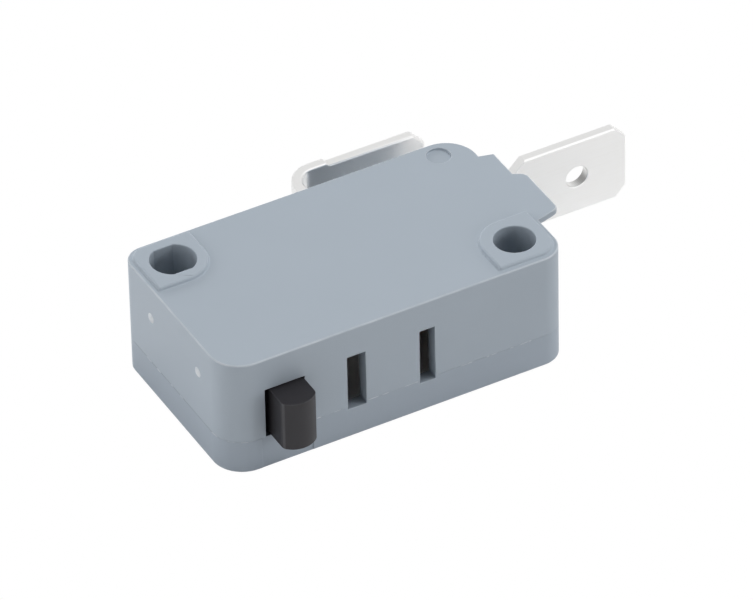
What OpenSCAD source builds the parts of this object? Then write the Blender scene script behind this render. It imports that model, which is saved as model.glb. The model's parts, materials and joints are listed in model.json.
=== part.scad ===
// Miniature snap-action switch: a two-shell moulded body, a sliding plunger, two push-on tabs
// and a coil-spring snap mechanism. All sizes are in millimetres.
// +X runs along the body towards the end tab, +Y from the plunger face to the back, and +Z through
// the thickness. The origin is the round mounting hole's centre, level with the lower hole bosses.

/* [Mounting holes] */
// Distance between the two mounting holes along the body
hole_pitch_x = 22.2; // [20:0.1:26]
// Distance between the two mounting holes across the body
hole_pitch_y = 10.3; // [9.6:0.1:13]
// Distance from each hole's centre to the two edges beside it
hole_edge = 2.8; // [2.7:0.1:3.4]
// Diameter of the round hole, and width between the flats of the long one
hole_d = 3.1; // [2.6:0.1:3.3]
// Length of the long hole along the body
slot_l = 3.45; // [3.35:0.05:3.9]
// Wall that stands round each hole inside the body
column_wall = 1.2; // [0.8:0.1:1.4]

/* [Body] */
// Thickness between the two main faces
body_t = 9.7; // [9.2:0.1:11]
// Height of the raised boss round each hole, on both faces
boss_h = 0.3; // [0.1:0.05:0.5]
// Radius of the raised boss
boss_r = 2.55; // [2.2:0.05:2.8]
// Margin between the raised boss and the body's edges
boss_inset = 0.38; // [0.2:0.02:0.5]
// Thickness of the cover at its rim, up to the parting line
cover_t = 2.75; // [2.5:0.05:3]
// Thickness of the end and back walls
wall = 1.4; // [1.1:0.1:1.7]
// Thickness of the wall that the plunger passes through
front_wall = 1.5; // [1.2:0.1:1.9]
// Thickness of the two main faces
face_wall = 1.3; // [1:0.1:1.6]
// Least corner radius of the room inside
room_r = 0.3; // [0.2:0.05:0.5]
// Radius of the outer edges round both main faces
edge_r = 0.12; // [0.08:0.02:0.35]
// Corner radius beside the plunger
corner_plunger = 2.4; // [1.8:0.1:2.6]
// Corner radius beside the round hole
corner_round = 1.9; // [1.5:0.1:2.4]
// Corner radius at the back, on the end tab's side
corner_back = 2.5; // [1.8:0.1:2.8]
// Corner radius beside the long hole
corner_slot = 1.5; // [1.2:0.1:2.2]
// Diameter of the ejector pin's witness ring
ejector_d = 1.85; // [1.2:0.05:2.2]
// Distance from the end face to the witness ring's middle
ejector_from_end = 2.5; // [2:0.1:4]
// Distance from the back face to the witness ring's middle
ejector_from_back = 1.45; // [1.3:0.05:3]
// Depth of the ejector pin's witness ring
ejector_depth = 0.2; // [0.05:0.05:0.3]
// Radius of the two pips on the end wall beside the long hole, at their foot
pip_r = 0.4; // [0.3:0.05:0.5]
// How far each pip stands out of the end wall
pip_out = 0.12; // [0.06:0.02:0.2]
// Height of the pips above the lower bosses
pip_z = 7.2; // [6:0.1:8]
// Distance from the front face to the pip beside the plunger
pip_near_y = 4.3; // [3:0.1:6]
// Distance between the two pips
pip_pitch = 7.1; // [6:0.1:8]

/* [Insulating shelf over the end tab] */
// Thickness of the shelf
shelf_t = 0.5; // [0.4:0.05:1]
// How far the shelf's ledge stands out over the end tab
ledge_reach = 1.1; // [0.8:0.05:1.4]
// How far the shelf's nose stands out beside the end tab
nose_reach = 1.95; // [1.6:0.05:2.4]
// Length of the ledge along the end face
ledge_l = 2.7; // [2.2:0.1:3]
// Length of the nose along the end face
nose_l = 4.7; // [3.6:0.05:5]
// Run of the slope at the shelf's back end
shelf_back_run = 0.3; // [0.1:0.05:0.5]
// Run of the slope between the ledge and the nose
shelf_step_run = 0.45; // [0.2:0.05:0.6]
// Run of the slope at the shelf's front end
shelf_front_run = 0.5; // [0.4:0.05:1]

/* [Front windows] */
// Height of the two lever windows through the body's thickness
window_h = 4.7; // [4.2:0.1:5.2]
// Width of the window nearer the plunger
window_near_w = 1.5; // [1:0.05:1.8]
// Width of the window further from the plunger
window_far_w = 1.25; // [1:0.05:1.8]
// Distance from the plunger's middle to the nearer window's middle
window_near_x = 5.65; // [5:0.05:6.2]
// Distance from the plunger's middle to the further window's middle
window_far_x = 11.41; // [11:0.01:12.4]
// Thickness of the front wall round both windows
window_wall = 1; // [0.8:0.05:1.1]
// Margin of the thinner wall round each window
thin_margin = 0.4; // [0.2:0.05:0.6]

/* [Plunger] */
// Distance from the long hole's centre to the plunger's middle, along the body
plunger_x_from_slot = 2.01; // [1.7:0.01:2.4]
// Width of the plunger along the body
plunger_w = 2.75; // [2.5:0.05:3]
// Height of the plunger through the body's thickness
plunger_h = 4.1; // [3.8:0.05:4.4]
// How far the plunger's nose stands out when it is free
plunger_out = 2.52; // [2.4:0.02:3]
// Radius of the plunger's rounded nose
nose_r = 1.72; // [1.6:0.02:2.4]
// Overhang of the collar that keeps the plunger in the body, on each side
collar_lip = 0.7; // [0.4:0.05:0.85]
// Thickness of the collar
collar_t = 1; // [0.7:0.1:1.4]
// Diameter of the plunger's rounded inner end
pusher_d = 1.5; // [1.1:0.1:1.9]
// Height of the plunger's inner end
pusher_h = 2.6; // [2:0.1:3]
// Margin of the shallow flat on the cover, on each side of the plunger
panel_margin = 0.68; // [0.3:0.02:0.9]
// Depth of the shallow flat on the cover
panel_depth = 0.08; // [0.04:0.01:0.15]
// Sliding gap on every side of the plunger
slide_gap = 0.08; // [0.03:0.01:0.1]
// Further play of the plunger in its opening, on the side of the long hole
side_play = 0.28; // [0:0.02:0.3]

/* [Push-on tabs] */
// Width of each tab
tab_w = 6.35; // [6.2:0.05:6.5]
// Thickness of the terminal sheet
tab_t = 0.8; // [0.7:0.02:0.9]
// Length of the common terminal's tab from its shoulder to its tip
common_tab_l = 7.95; // [7.5:0.05:8.5]
// Length of the end tab from its shoulder to its tip
open_tab_l = 8.5; // [7.5:0.05:8.8]
// Diameter of the hole in each tab
tab_hole_d = 1.8; // [1.4:0.05:2.2]
// Distance from a tab's tip to its hole's centre
tab_hole_from_tip = 4.15; // [3.8:0.05:4.5]
// Chamfer at the two corners of each tip
tip_chamfer = 1; // [0.7:0.1:1.3]
// Bevel along the edges of each tab
tab_bevel = 0.11; // [0.08:0.01:0.25]
// Width of both terminals where they pass through the body
stem_w = 4.5; // [4.2:0.1:4.8]
// Gap round each terminal in its slot
slot_gap = 0.04; // [0.02:0.01:0.08]

/* [End terminal] */
// Distance from the back face to the middle of the end tab's thickness
open_from_back = 2.86; // [2.7:0.02:3.1]
// How far the end tab's tip stands out from the end face
open_reach = 12.2; // [11.6:0.1:13]
// Length of the inner blade beyond the fixed contact
blade_tail = 2.2; // [1.9:0.1:2.5]

/* [Common terminal] */
// Distance from the plunger's middle to the middle of the common terminal's stem
common_x = 10.89; // [10.6:0.01:11.1]
// How far the common tab's outer face stands out from the back face
common_reach = 4.25; // [3.9:0.05:4.8]
// Inner radius of the outside bend
bend_r = 1.4; // [1:0.1:1.6]
// Inner radius of the inside bend
inner_bend_r = 0.4; // [0.2:0.1:0.6]
// Width of the strip round the outside bend
strip_w = 6.85; // [6.5:0.05:7.1]
// Length of the wide strip between the bend and the tab
strip_run = 1.45; // [1:0.05:2]
// Length of the narrow stem behind the back face
stem_run = 0.6; // [0.4:0.1:0.9]

/* [Snap mechanism] */
// Thickness of the contact arm and the trip lever
sheet_t = 0.4; // [0.3:0.02:0.5]
// Running gap between a pivot's notch and the rounded edge that rocks in it
pivot_gap = 0.04; // [0.02:0.01:0.06]
// Length of a prong beyond the notch in it
prong_lip = 0.6; // [0.4:0.05:0.65]
// Distance from the plunger's middle to the arm's pivot, along the body
arm_pivot_x = 3.19; // [3:0.01:3.5]
// Distance from the terminal plate to the arm's pivot
arm_pivot_y = 3.34; // [3.2:0.02:3.5]
// Distance from the plunger's middle to the lever's pivot, along the body
lever_pivot_x = 6.69; // [6.5:0.01:7]
// Distance from the terminal plate to the lever's pivot
lever_pivot_y = 1.34; // [1.2:0.02:1.5]
// Slope of the lever when the plunger is free
lever_rest_angle = 32; // [30:0.5:34]
// Length of the lever from its pivot
lever_l = 9.2; // [9:0.1:9.6]
// Width of the lever
lever_w = 2.6; // [2.4:0.05:2.65]
// Width of the opening along the lever's middle
lever_slot_w = 1.5; // [1.45:0.05:1.7]
// Distance from the lever's pivot to its spring hole
lever_hook = 5.2; // [5:0.05:5.5]
// Width of the contact arm
arm_w = 4.4; // [4.2:0.1:4.6]
// Width of the opening along the arm's middle
arm_slot_w = 2.9; // [2.8:0.05:3.1]
// Width of the moulded stop that the arm rests against
stop_w = 1; // [0.8:0.05:1.2]
// Width of the pads behind the terminals
pad_w = 0.8; // [0.6:0.05:0.95]
// Distance from the end face to the contacts' middle
contact_from_end = 4.8; // [4.4:0.1:5.2]
// Distance from the contacts' middle to the arm's spring hole
arm_hook = 4.7; // [4.3:0.1:5]
// Length of the arm beyond its contact
arm_tail = 2.2; // [2:0.1:2.4]
// Diameter of the two contact heads
contact_d = 2.6; // [2.2:0.1:3]
// Radius of the contact heads' domed faces
dome_r = 7.8; // [5:0.1:12]
// Height of the moving contact's head
arm_contact_h = 0.9; // [0.7:0.05:1.1]
// Gap between the contacts when the plunger is free
contact_gap = 0.95; // [0.7:0.05:1.1]
// Diameter of both contacts' shanks
shank_d = 1.4; // [1.1:0.1:1.6]
// Height of both contacts' riveted tails
rivet_h = 0.3; // [0.2:0.05:0.4]
// Clearance between parts that touch
touch_gap = 0.03; // [0.02:0.01:0.05]
// Outside diameter of the snap spring
spring_d = 1.3; // [1.1:0.05:1.35]
// Wire diameter of the snap spring
wire_d = 0.22; // [0.16:0.02:0.26]
// Number of turns of the snap spring
spring_turns = 18; // [12:1:20]
// Straight length of wire at each end of the snap spring
spring_lead = 0.9; // [0.8:0.05:1.2]
// Diameter of the spring holes in the arm and the lever
hook_hole_d = 0.6; // [0.55:0.02:0.7]
// Metal left between a spring hole and the opening beside it
hook_bridge = 0.2; // [0.15:0.01:0.3]
// Distance from the lever's pivot to its opening
lever_slot_start = 0.75; // [0.6:0.05:0.9]
// Length over which the snap spring's turns start and end
spring_ease = 0.6; // [0.4:0.05:0.8]
// Bend radius of the spring's hooks
hook_r = 0.25; // [0.2:0.01:0.3]
// Length of each hook behind the sheet that it holds
hook_leg = 0.45; // [0.35:0.05:0.55]

/* [Cover pins] */
// Diameter of the two pins that hold the cover
pin_d = 1.2; // [0.9:0.1:1.4]
// Length of the pins above the parting line
pin_l = 3; // [2:0.1:4]
// Fit of the pins in their posts
pin_gap = 0.02; // [0.01:0.01:0.05]
// Wall round each pin's hole
post_wall = 0.8; // [0.6:0.1:1]

/* [Hidden] */
$fn = 48;
// Overlap that keeps joined shapes and cuts from ending on the same face
over = 0.5;
// The same inside a contact rivet, which is thinner
lap = 0.1;

// Body, measured from its front left corner
body_l = hole_pitch_x + 2 * hole_edge;
body_w = hole_pitch_y + 2 * hole_edge;
round_at = [body_l - hole_edge, hole_edge];
slot_at = [hole_edge, body_w - hole_edge];
corner_rs = [corner_plunger, corner_round, corner_back, corner_slot];
column_r = hole_d / 2 + column_wall;
face_low = boss_h;
face_high = boss_h + body_t;
mid_z = (face_low + face_high) / 2;
parting_z = face_low + cover_t;
pip_ball_r = (pip_r * pip_r + pip_out * pip_out) / (2 * pip_out);

// Plunger
plunger_at = slot_at[0] + plunger_x_from_slot;
collar_y = front_wall + slide_gap;
nose_drop = nose_r - sqrt(nose_r * nose_r - plunger_w * plunger_w / 4);

// Terminals
plate_y = body_w - open_from_back - tab_t / 2;
common_left = plunger_at + common_x - tab_t / 2;
common_tab_y = body_w + common_reach - tab_t;
bend_out_r = bend_r + tab_t;
common_tab_x = common_left + bend_out_r + strip_run;
strip_step = (strip_w - tab_w) / 2;
open_tip_x = body_l + open_reach;
open_tab_x = open_tip_x - open_tab_l;

// Mechanism
tip_r = sheet_t / 2;
notch_r = tip_r + pivot_gap;
arm_pivot = [plunger_at + arm_pivot_x, plate_y - arm_pivot_y];
lever_pivot = [plunger_at + lever_pivot_x, plate_y - lever_pivot_y];
rail_w = (arm_w - arm_slot_w) / 2;
contact_x = body_l - contact_from_end;
arm_hook_at = [contact_x - arm_hook, arm_pivot[1]];
arm_slot_end = arm_hook_at[0] - hook_hole_d / 2 - hook_bridge;
arm_end = contact_x + arm_tail;
blade_end = contact_x - blade_tail;
open_contact_h = arm_pivot_y - sheet_t / 2 - arm_contact_h - contact_gap - 2 * touch_gap;
lever_hook_at = lever_pivot - lever_hook * [cos(lever_rest_angle), sin(lever_rest_angle)];
lever_slot_end = lever_hook - hook_hole_d / 2 - hook_bridge;
pusher_y = lever_pivot[1] - lever_pivot_x * tan(lever_rest_angle)
    - (pusher_d / 2 + sheet_t / 2 + touch_gap) / cos(lever_rest_angle);

// Posts for the cover's pins: one between the windows, one between the terminals
post_r = pin_d / 2 + post_wall;
front_post = [plunger_at + (window_near_x + window_far_x) / 2, front_wall + post_r / 2];
back_post = [(common_left + tab_t + blade_end) / 2, body_w - wall - post_r / 2];
POSTS = [front_post, back_post];

// Moves a shape from the body's front left corner to the origin at the round hole
module placed() {
    translate([-round_at[0], -round_at[1], 0]) children();
}

// Raises a plan drawing into a slab between two heights
module slab(low, high) {
    translate([0, 0, low]) linear_extrude(high - low) children();
}

// A box given by its low and high corners
module block(low, high) {
    translate(low) cube(high - low);
}

// A rectangle with a radius of its own at each corner, in the order
// front left, front right, back right, back left
module rounded_plan(low, high, r) {
    polygon([
        [low[0] + r[0], low[1]], [high[0] - r[1], low[1]],
        [high[0], low[1] + r[1]], [high[0], high[1] - r[2]],
        [high[0] - r[2], high[1]], [low[0] + r[3], high[1]],
        [low[0], high[1] - r[3]], [low[0], low[1] + r[0]]
    ]);
    translate([low[0] + r[0], low[1] + r[0]]) circle(r[0]);
    translate([high[0] - r[1], low[1] + r[1]]) circle(r[1]);
    translate([high[0] - r[2], high[1] - r[2]]) circle(r[2]);
    translate([low[0] + r[3], high[1] - r[3]]) circle(r[3]);
}

// The body's plan, drawn in by a margin
module body_plan(margin = 0) {
    rounded_plan([margin, margin], [body_l - margin, body_w - margin], [for (r = corner_rs) r - margin]);
}

// Section of a wall of the given depth, from its flat end to its end with a rounded outer edge
module edge_section(depth, flat_z, round_z) {
    centre_z = round_z - sign(round_z - flat_z) * edge_r;
    polygon([[0, flat_z], [depth, flat_z], [depth, centre_z], [depth - edge_r, round_z], [0, round_z]]);
    translate([depth - edge_r, centre_z]) circle(edge_r);
}

// The body's outer form, square at one height and rounded at the edge of the other.
// It is a core, a straight rim along each side and a turned piece at each corner.
module soft_body(flat_z, round_z) {
    rim = 2 * edge_r;
    r = corner_rs;
    centre = [[r[0], r[0]], [body_l - r[1], r[1]], [body_l - r[2], body_w - r[2]], [r[3], body_w - r[3]]];
    slab(min(flat_z, round_z), max(flat_z, round_z)) polygon([
        [centre[0][0], rim], [centre[1][0], rim], centre[1],
        [body_l - rim, centre[1][1]], [body_l - rim, centre[2][1]], centre[2],
        [centre[2][0], body_w - rim], [centre[3][0], body_w - rim], centre[3],
        [rim, centre[3][1]], [rim, centre[0][1]], centre[0]
    ]);
    for (i = [0:3]) {
        next = (i + 1) % 4;
        turn = 90 * i - 90;
        out = [cos(turn), sin(turn)];
        along = (centre[next] - centre[i]) * [-sin(turn), cos(turn)];
        translate(centre[i] + (r[i] - rim) * out) rotate([0, 0, turn]) rotate([90, 0, 0])
            translate([0, 0, -along]) linear_extrude(along) edge_section(rim, flat_z, round_z);
        translate(centre[next]) rotate([0, 0, turn])
            rotate_extrude(angle = 90) edge_section(r[next], flat_z, round_z);
    }
}

// The room inside the body: the inner plan less the columns, posts, rest stop and terminal pads
module cavity_plan() {
    difference() {
        rounded_plan([wall, front_wall], [body_l - wall, body_w - wall],
                     [for (r = corner_rs) max(r - wall, room_r)]);
        translate(round_at) circle(column_r);
        translate(slot_at) circle(column_r + (slot_l - hole_d) / 2);
        for (post = POSTS) {
            translate(post) circle(post_r);
        }
        // Moulded stop that the arm rests against while the switch is free
        translate([arm_end - stop_w, round_at[1]])
            square([stop_w, arm_pivot[1] - sheet_t / 2 - touch_gap - round_at[1]]);
        // Pads behind the terminals, which take the contact force
        pad_y = plate_y + tab_t + slot_gap;
        for (x = [blade_end, contact_x + contact_d / 2, arm_pivot[0]]) {
            translate([x, pad_y]) square([pad_w, body_w - wall / 2 - pad_y]);
        }
    }
}

// The raised boss round one hole: a disc run out square to the two edges beside it
module boss_plan(at, corner) {
    intersection() {
        body_plan(boss_inset);
        union() {
            translate(at) circle(boss_r);
            for (reach = [[boss_r, 0], [0, boss_r]]) {
                inner = [for (i = [0, 1]) at[i] + (corner[i] > at[i] ? -reach[i] : reach[i])];
                translate([for (i = [0, 1]) min(inner[i], corner[i])])
                    square([for (i = [0, 1]) abs(inner[i] - corner[i])]);
            }
        }
    }
}

// Both raised bosses
module boss_plans() {
    boss_plan(round_at, [body_l, 0]);
    boss_plan(slot_at, [0, body_w]);
}

// The stepped shelf that stands out over the end tab, measured back from the tab
module shelf_plan() {
    ledge_back = plate_y - slot_gap;
    ledge_front = ledge_back - ledge_l;
    nose_back = ledge_front - shelf_step_run;
    nose_front = nose_back - nose_l;
    polygon([
        [body_l - over, ledge_back + shelf_back_run], [body_l, ledge_back + shelf_back_run],
        [body_l + ledge_reach, ledge_back], [body_l + ledge_reach, ledge_front],
        [body_l + nose_reach, nose_back], [body_l + nose_reach, nose_front],
        [body_l, nose_front - shelf_front_run], [body_l - over, nose_front - shelf_front_run]
    ]);
}

// Both mounting holes, cut right through
module mounting_holes() {
    depth = face_high + boss_h + 2 * over;
    translate([round_at[0], round_at[1], -over]) cylinder(h = depth, d = hole_d);
    translate([slot_at[0], slot_at[1], -over]) intersection() {
        cylinder(h = depth, d = slot_l);
        translate([-slot_l, -hole_d / 2, 0]) cube([2 * slot_l, hole_d, depth]);
    }
}

// An opening in the front wall from a depth inwards, centred on the mechanism's middle plane
module front_cut(x, w, h, depth = -over) {
    block([x - w / 2, depth, mid_z - h / 2], [x + w / 2, front_wall + over, mid_z + h / 2]);
}

// The plunger's opening, the two lever windows and the slots for both terminals
module wall_cuts() {
    front_cut(plunger_at - side_play / 2, plunger_w + 2 * slide_gap + side_play,
              plunger_h + 2 * slide_gap);
    for (window = [[window_near_x, window_near_w], [window_far_x, window_far_w]]) {
        x = plunger_at + window[0];
        front_cut(x, window[1], window_h);
        // Thinner wall round the window, cut from the inside
        front_cut(x, window[1] + 2 * thin_margin, window_h + 2 * thin_margin, window_wall);
    }
    half = stem_w / 2 + slot_gap;
    block([body_l - wall - over, plate_y - slot_gap, mid_z - half],
          [body_l + over, plate_y + tab_t + slot_gap, mid_z + half]);
    block([common_left - slot_gap, body_w - wall - over, mid_z - half],
          [common_left + tab_t + slot_gap, body_w + over, mid_z + half]);
}

// The upper shell, which carries the mechanism
module case() {
    color("#a3aebb") placed() difference() {
        union() {
            difference() {
                soft_body(parting_z, face_high);
                slab(parting_z - over, face_high - face_wall) cavity_plan();
            }
            slab(face_high - over, face_high + boss_h) boss_plans();
            slab(face_high - shelf_t, face_high) shelf_plan();
            for (y = [pip_near_y, pip_near_y + pip_pitch]) {
                translate([pip_ball_r - pip_out, y, pip_z]) sphere(pip_ball_r);
            }
        }
        mounting_holes();
        wall_cuts();
        for (post = POSTS) {
            translate([post[0], post[1], parting_z - over])
                cylinder(h = pin_l + over + pin_gap, d = pin_d + 2 * pin_gap);
        }
        translate([body_l - ejector_from_end, body_w - ejector_from_back, face_high - ejector_depth])
            cylinder(h = over, d = ejector_d);
    }
}

// The lower shell, with the two pins that hold it to the case
module cover() {
    color("#98a3b0") placed() difference() {
        union() {
            difference() {
                soft_body(parting_z, face_low);
                slab(face_low + face_wall, parting_z + over) cavity_plan();
            }
            slab(0, face_low + over) boss_plans();
            slab(face_low, face_low + shelf_t) shelf_plan();
            for (post = POSTS) {
                translate([post[0], post[1], parting_z - over]) cylinder(h = pin_l + over, d = pin_d);
            }
        }
        mounting_holes();
        wall_cuts();
        // Shallow flat below the plunger
        panel_half = plunger_w / 2 + panel_margin;
        block([plunger_at - panel_half, -over, face_low - over],
              [plunger_at + panel_half, panel_depth, parting_z + over]);
    }
}

// The sliding plunger: rounded nose, shank through the wall, retaining collar and inner end
module plunger() {
    color("#2b2a2e") placed() translate([plunger_at, 0, 0]) {
        slab(mid_z - plunger_h / 2, mid_z + plunger_h / 2) {
            intersection() {
                translate([0, nose_r - plunger_out]) circle(nose_r);
                translate([-plunger_w / 2, -plunger_out - over]) square([plunger_w, nose_drop + over]);
            }
            translate([-plunger_w / 2, nose_drop - plunger_out])
                square([plunger_w, collar_y + collar_t - nose_drop + plunger_out]);
            translate([-plunger_w / 2 - collar_lip, collar_y])
                square([plunger_w + 2 * collar_lip, collar_t]);
        }
        slab(mid_z - pusher_h / 2, mid_z + pusher_h / 2) {
            translate([-pusher_d / 2, collar_y]) square([pusher_d, pusher_y - collar_y]);
            translate([0, pusher_y]) circle(d = pusher_d);
        }
    }
}

// A tab's plan in the sheet's plane, from its root at x = 0: root half width, shoulder, tip
module tab_plan(root_half, shoulder_x, tip) {
    half = tab_w / 2;
    polygon([
        [0, -root_half], [max(shoulder_x - (half - root_half), 0), -root_half], [shoulder_x, -half],
        [tip - tip_chamfer, -half], [tip, tip_chamfer - half],
        [tip, half - tip_chamfer], [tip - tip_chamfer, half],
        [shoulder_x, half], [max(shoulder_x - (half - root_half), 0), root_half], [0, root_half]
    ]);
}

// A bevelled push-on tab along +X with its front face on y = 0 and its middle on z = 0
module push_on_tab(root_half, shoulder_x, tip) {
    half = tab_w / 2;
    side = [tab_bevel, tab_t - tab_bevel];
    difference() {
        intersection() {
            translate([0, tab_t, 0]) rotate([90, 0, 0]) linear_extrude(tab_t)
                tab_plan(root_half, shoulder_x, tip);
            // Bevels along both long edges
            rotate([90, 0, 90]) linear_extrude(tip) polygon([
                [0, tab_bevel - half], [side[0], -half], [side[1], -half], [tab_t, tab_bevel - half],
                [tab_t, half - tab_bevel], [side[1], half], [side[0], half], [0, half - tab_bevel]
            ]);
            // Bevels across the tip
            translate([0, 0, -half]) linear_extrude(tab_w) polygon([
                [0, 0], [tip - tab_bevel, 0], [tip, side[0]], [tip, side[1]],
                [tip - tab_bevel, tab_t], [0, tab_t]
            ]);
        }
        translate([tip - tab_hole_from_tip, -over, 0]) rotate([-90, 0, 0])
            cylinder(h = tab_t + 2 * over, d = tab_hole_d);
    }
}

// A quarter bend of sheet in plan, filling the quadrant on the side given by sx and sy
module quarter_bend(r, sx, sy) {
    outer = r + tab_t;
    intersection() {
        difference() {
            circle(outer);
            circle(r);
        }
        translate([min(sx * outer, 0), min(sy * outer, 0)]) square(outer);
    }
}

// A sheet-metal prong that stands up from the terminal plate, with a round notch in one side
module prong(x, side, pivot_y, low, high) {
    difference() {
        block([side > 0 ? x : x - tab_t, pivot_y - prong_lip, low],
              [side > 0 ? x + tab_t : x, plate_y + tab_t / 2, high]);
        translate([x, pivot_y, low - over]) cylinder(h = high - low + 2 * over, r = notch_r);
    }
}

// The common terminal: inner plate with the pivots, stem through the back wall, bend and tab
module common_terminal() {
    inner_out_r = inner_bend_r + tab_t;
    plate_start = arm_pivot[0] - tab_t;
    plate_end = common_left + tab_t - inner_out_r;
    bend_y = body_w + common_reach - bend_out_r;
    stem_end = body_w + stem_run;
    color("#d9d9d6") placed() {
        slab(mid_z - stem_w / 2, mid_z + stem_w / 2) {
            translate([plate_start, plate_y]) square([plate_end - plate_start, tab_t]);
            translate([plate_end, plate_y + inner_out_r]) quarter_bend(inner_bend_r, 1, -1);
            translate([common_left, plate_y + inner_out_r])
                square([tab_t, stem_end + over - plate_y - inner_out_r]);
        }
        slab(mid_z - strip_w / 2, mid_z + strip_w / 2) {
            translate([common_left, stem_end]) square([tab_t, bend_y - stem_end]);
            translate([common_left + bend_out_r, bend_y]) quarter_bend(bend_r, -1, 1);
        }
        translate([common_left + bend_out_r, common_tab_y + tab_t, mid_z]) rotate([90, 0, 0])
            linear_extrude(tab_t) polygon([
                [0, -strip_w / 2], [strip_run - strip_step, -strip_w / 2], [strip_run, -tab_w / 2],
                [strip_run, tab_w / 2], [strip_run - strip_step, strip_w / 2], [0, strip_w / 2]
            ]);
        translate([common_tab_x - over, common_tab_y, mid_z])
            push_on_tab(tab_w / 2, over, over + common_tab_l);
        // Two prongs for the arm's rails and one for the lever
        for (side = [-1, 1]) {
            rail_z = mid_z + side * (arm_slot_w / 2 + rail_w / 2);
            prong(arm_pivot[0], -1, arm_pivot[1], rail_z - rail_w / 2, rail_z + rail_w / 2);
        }
        prong(lever_pivot[0], 1, lever_pivot[1], mid_z - lever_slot_w / 2, mid_z + lever_slot_w / 2);
    }
}

// The normally open terminal: inner blade with the fixed contact's hole, stem and end tab
module open_terminal() {
    color("#d9d9d6") placed() difference() {
        translate([blade_end, plate_y, mid_z])
            push_on_tab(stem_w / 2, open_tab_x - blade_end, open_tip_x - blade_end);
        translate([contact_x, plate_y - over, mid_z]) rotate([-90, 0, 0])
            cylinder(h = tab_t + 2 * over, d = shank_d);
    }
}

// A contact rivet along +Y: domed head of height h, shank through the sheet, riveted tail
module contact_rivet(h, sheet) {
    rotate([-90, 0, 0]) {
        intersection() {
            cylinder(h = h, d = contact_d);
            translate([0, 0, dome_r]) sphere(dome_r, $fn = 96);
        }
        translate([0, 0, h - lap]) cylinder(h = sheet + 2 * lap, d = shank_d - 2 * touch_gap);
        translate([0, 0, h + sheet + touch_gap]) cylinder(h = rivet_h, d = (contact_d + shank_d) / 2);
    }
}

// The fixed contact on the open terminal's blade
module open_contact() {
    color("#c9c3b4") placed()
        translate([contact_x, plate_y - touch_gap - open_contact_h, mid_z])
            contact_rivet(open_contact_h, tab_t + touch_gap);
}

// The moving contact at the arm's end
module arm_contact() {
    color("#c9c3b4") placed()
        translate([contact_x, arm_pivot[1] + sheet_t / 2 + touch_gap + arm_contact_h, mid_z])
            rotate([0, 0, 180]) contact_rivet(arm_contact_h, sheet_t + touch_gap);
}

// The contact arm: two rails with rounded ends that rock in the prongs, and the contact plate
module contact_arm() {
    color("#c08a4a") placed() translate([0, arm_pivot[1], mid_z]) difference() {
        union() {
            for (side = [-1, 1]) {
                middle = side * (arm_slot_w + rail_w) / 2;
                translate([arm_pivot[0], -tip_r, middle - rail_w / 2])
                    cube([arm_slot_end - arm_pivot[0] + over, 2 * tip_r, rail_w]);
                translate([arm_pivot[0], 0, middle - rail_w / 2]) cylinder(h = rail_w, r = tip_r);
            }
            block([arm_slot_end, -sheet_t / 2, -arm_w / 2], [arm_end, sheet_t / 2, arm_w / 2]);
        }
        for (hole = [[arm_hook_at[0], hook_hole_d], [contact_x, shank_d]]) {
            translate([hole[0], -over, 0]) rotate([-90, 0, 0]) cylinder(h = 2 * over, d = hole[1]);
        }
    }
}

// The trip lever: rounded edge in the middle prong, opening for the spring, end for the plunger
module trip_lever() {
    color("#b9bcc0") placed()
        translate([lever_pivot[0], lever_pivot[1], mid_z]) rotate([0, 0, lever_rest_angle]) difference() {
            union() {
                block([-lever_l, -tip_r, -lever_w / 2], [0, tip_r, lever_w / 2]);
                translate([0, 0, -lever_w / 2]) cylinder(h = lever_w, r = tip_r);
            }
            block([-lever_slot_end, -over, -lever_slot_w / 2], [-lever_slot_start, over, lever_slot_w / 2]);
            translate([-lever_hook, -over, 0]) rotate([-90, 0, 0]) cylinder(h = 2 * over, d = hook_hole_d);
        }
}

// Snap spring: one swept wire with a hook, the turns and a second hook.
// Along the spring x runs from the lever's hole to the arm's, and y crosses it towards the back.
spring_span = norm(arm_hook_at - lever_hook_at);
coil_r = (spring_d - wire_d) / 2;
wire_sides = 6;
steps_per_turn = 12;
turn_pitch = (spring_span - 2 * spring_lead - spring_ease) / spring_turns;

// Turns completed at a distance x along the spring; they start and end gently
function turns_at(x) =
    let (a = x - spring_lead, run = spring_span - 2 * spring_lead)
    a <= 0 ? 0
    : a < spring_ease ? a * a / (2 * spring_ease * turn_pitch)
    : a < run - spring_ease ? (a - spring_ease / 2) / turn_pitch
    : a < run ? spring_turns - (run - a) * (run - a) / (2 * spring_ease * turn_pitch)
    : spring_turns;

// A point of the wire in the turns
function coil_point(x) = let (t = 360 * turns_at(x)) [x, -coil_r * cos(t), coil_r * sin(t)];

// The hook at the spring's start, from its free end to the start of the lead
hook_arc = [for (t = [0:15:90]) [hook_r * (1 - cos(t)), hook_r * (1 - sin(t)) - coil_r, 0]];
start_hook = concat([[0, hook_leg, 0]], hook_arc);
end_hook = [for (i = [len(start_hook) - 1:-1:0])
    [spring_span - start_hook[i][0], start_hook[i][1], 0]];
coil_step = turn_pitch / steps_per_turn;
coil_count = floor((spring_span - 2 * spring_lead) / coil_step);
coil_points = [for (i = [0:coil_count])
    coil_point(spring_lead + i * (spring_span - 2 * spring_lead) / coil_count)];
wire_path = concat(start_hook, coil_points, end_hook);

// Direction of the wire at one point of its path
function wire_along(i) =
    let (last = len(wire_path) - 1, d = wire_path[min(i + 1, last)] - wire_path[max(i - 1, 0)])
    d / norm(d);

// Direction across the wire: away from the coil's axis in the turns, in the hook's plane elsewhere
function wire_across(i) =
    let (p = wire_path[i], d = wire_along(i), first = len(start_hook),
         away = cross([0, 0, -1], d),
         out = [0, p[1], p[2]] / max(norm([0, p[1], p[2]]), 0.01),
         flat = out - (out * d) * d)
    i >= first && i < first + len(coil_points) ? flat / norm(flat) : away / norm(away);

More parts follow.
